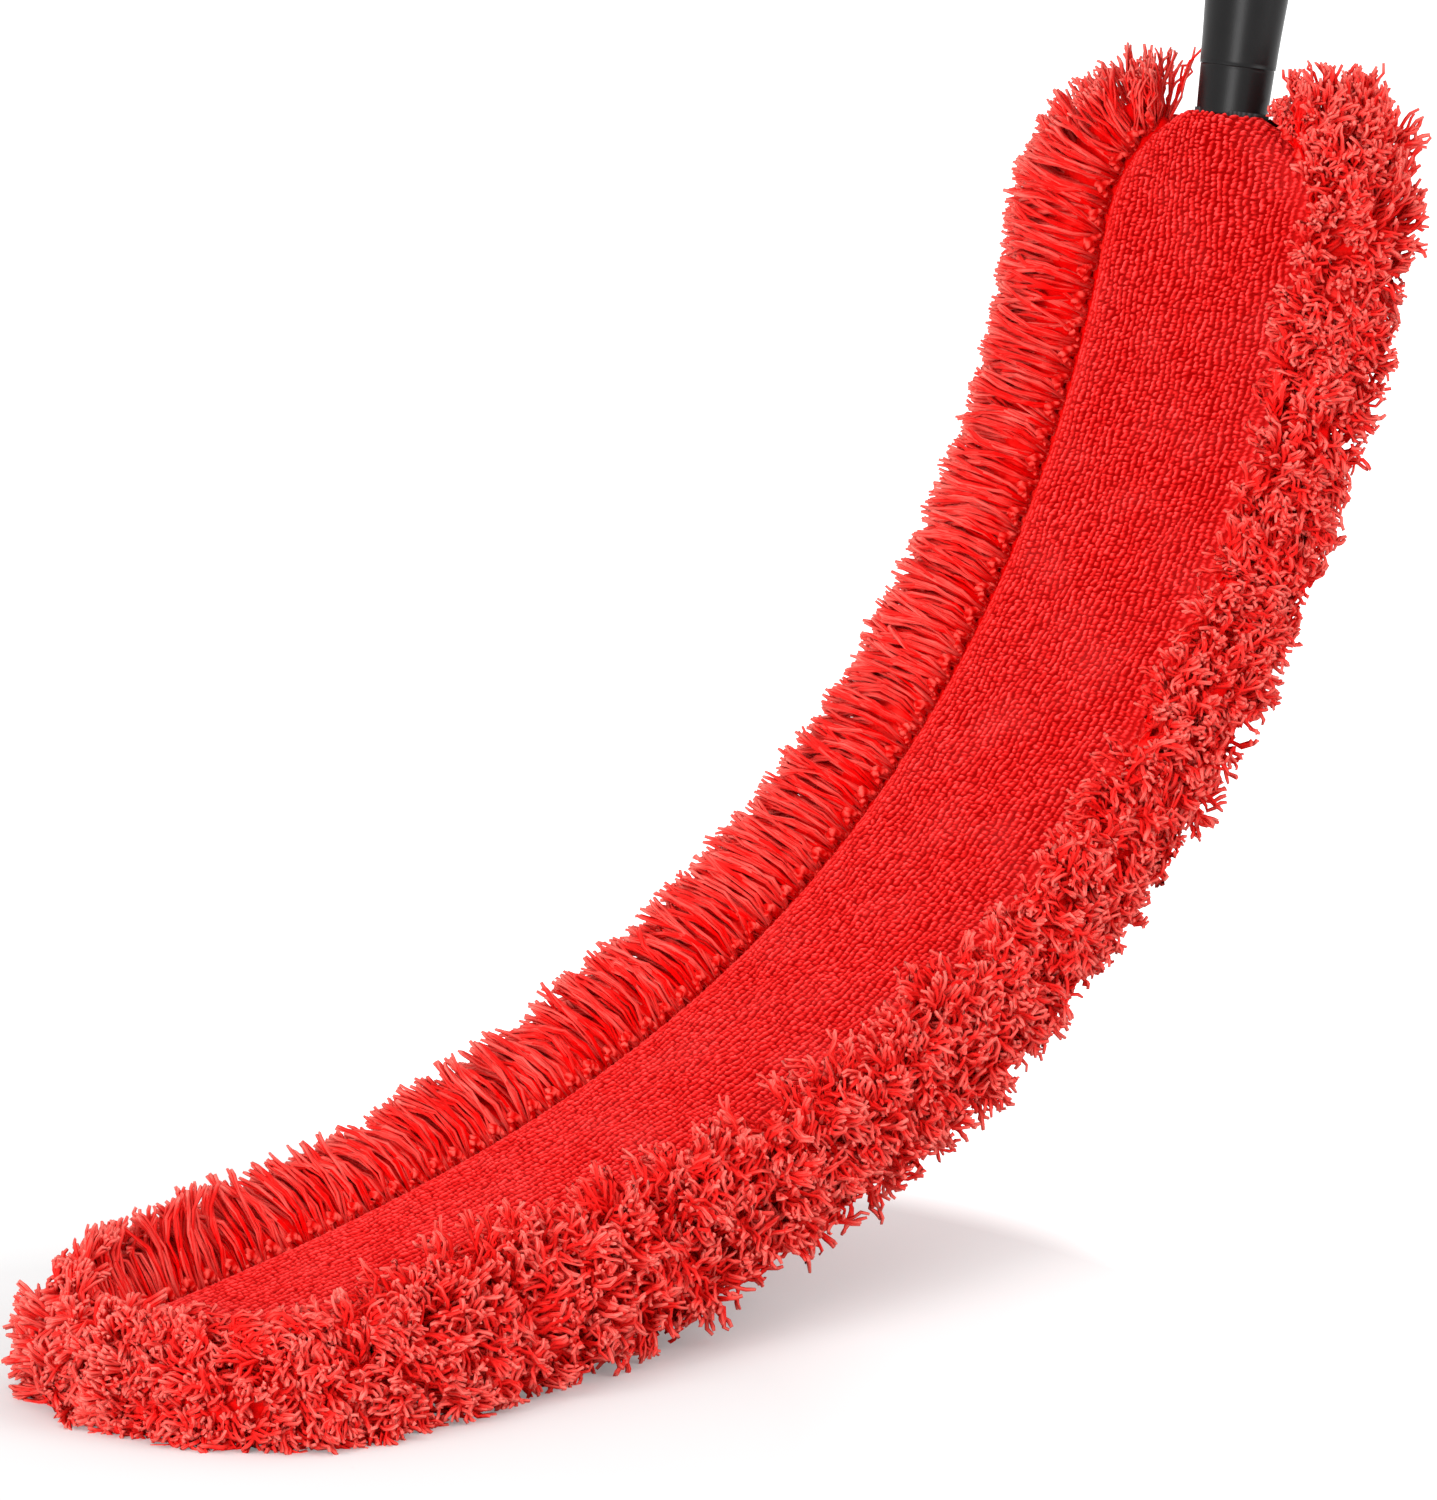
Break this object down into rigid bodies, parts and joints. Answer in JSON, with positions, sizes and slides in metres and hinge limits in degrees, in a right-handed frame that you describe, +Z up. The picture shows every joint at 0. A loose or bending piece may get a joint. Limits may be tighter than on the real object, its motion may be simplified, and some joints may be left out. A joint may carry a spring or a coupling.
{
  "type": "under appliance duster",
  "caption": "Long flat duster with a springy bending head, a terry and yarn-fringe cover, a slim neck, a soft grip and a hanging eye.",
  "frame": {"origin": "middle of the grip, on the handle's centre line, where a hand holds it", "axes": "+Z up with the handle leaning 11 degrees from it towards +X, -X the way the head bends, +Y across the head"},
  "size_m": [0.498, 0.1218, 0.5221],
  "materials": {
    "terry_red": "looped microfibre terry, matt",
    "yarn_red": "twisted microfibre yarn, cut ends",
    "neck_black": "fine satin moulding",
    "grip_black": "soft matt overmould",
    "core_grey": "plain moulding, hidden",
    "blade_white": "springy moulded strip, hidden",
    "pin_steel": "plain pin, hidden",
    "elastic_black": "woven elastic"
  },
  "bodies": {
    "handle": {"handle_core": "core_grey", "neck_collar": "neck_black", "neck_sleeve": "neck_black", "handle_grip": "grip_black", "hanging_cap": "neck_black", "tang_pin_lower": "pin_steel", "tang_pin_upper": "pin_steel", "mouth_elastic": "elastic_black", "blade_root": "blade_white", "front_panel_mouth": "terry_red", "back_panel_mouth": "terry_red", "left_fringe_mouth": "yarn_red", "right_fringe_mouth": "yarn_red"},
    "head_1": {"blade_1": "blade_white", "front_panel_1": "terry_red", "back_panel_1": "terry_red", "left_fringe_1": "yarn_red", "right_fringe_1": "yarn_red"},
    "head_2": {"blade_2": "blade_white", "front_panel_2": "terry_red", "back_panel_2": "terry_red", "left_fringe_2": "yarn_red", "right_fringe_2": "yarn_red"},
    "head_3": {"blade_3": "blade_white", "front_panel_3": "terry_red", "back_panel_3": "terry_red", "left_fringe_3": "yarn_red", "right_fringe_3": "yarn_red"},
    "head_4": {"blade_4": "blade_white", "front_panel_4": "terry_red", "back_panel_4": "terry_red", "left_fringe_4": "yarn_red", "right_fringe_4": "yarn_red"},
    "head_5": {"blade_5": "blade_white", "front_panel_5": "terry_red", "back_panel_5": "terry_red", "left_fringe_5": "yarn_red", "right_fringe_5": "yarn_red"},
    "head_6": {"blade_6": "blade_white", "front_panel_6": "terry_red", "back_panel_6": "terry_red", "left_fringe_6": "yarn_red", "right_fringe_6": "yarn_red"},
    "head_7": {"blade_7": "blade_white", "front_panel_7": "terry_red", "back_panel_7": "terry_red", "left_fringe_7": "yarn_red", "right_fringe_7": "yarn_red", "tip_fringe": "yarn_red"}
  },
  "joints": [
    {"name": "blade_bend_1", "type": "hinge", "parent": "handle", "child": "head_1", "pos_m": [-0.02593, 0, -0.13366], "axis": [0, 1, 0], "range_deg": [-15.76, 2.05]},
    {"name": "blade_bend_2", "type": "hinge", "parent": "head_1", "child": "head_2", "pos_m": [-0.0495, 0, -0.20629], "axis": [0, 1, 0], "range_deg": [-36.6, 4.75]},
    {"name": "blade_bend_3", "type": "hinge", "parent": "head_2", "child": "head_3", "pos_m": [-0.09191, 0, -0.26973], "axis": [0, 1, 0], "range_deg": [-36.93, 4.8]},
    {"name": "blade_bend_4", "type": "hinge", "parent": "head_3", "child": "head_4", "pos_m": [-0.15016, 0, -0.31909], "axis": [0, 1, 0], "range_deg": [-31.75, 4.13]},
    {"name": "blade_bend_5", "type": "hinge", "parent": "head_4", "child": "head_5", "pos_m": [-0.21854, 0, -0.35321], "axis": [0, 1, 0], "range_deg": [-23.59, 3.07]},
    {"name": "blade_bend_6", "type": "hinge", "parent": "head_5", "child": "head_6", "pos_m": [-0.29198, 0, -0.37464], "axis": [0, 1, 0], "range_deg": [-15.01, 1.95]},
    {"name": "blade_bend_7", "type": "hinge", "parent": "head_6", "child": "head_7", "pos_m": [-0.36744, 0, -0.38754], "axis": [0, 1, 0], "range_deg": [-8.54, 1.11]}
  ],
  "couplings": [
    {"joint": "blade_bend_1", "follows": "blade_bend_2", "ratio": 0.43058},
    {"joint": "blade_bend_3", "follows": "blade_bend_2", "ratio": 1.0089},
    {"joint": "blade_bend_4", "follows": "blade_bend_2", "ratio": 0.86724},
    {"joint": "blade_bend_5", "follows": "blade_bend_2", "ratio": 0.64439},
    {"joint": "blade_bend_6", "follows": "blade_bend_2", "ratio": 0.40988},
    {"joint": "blade_bend_7", "follows": "blade_bend_2", "ratio": 0.23317}
  ]
}
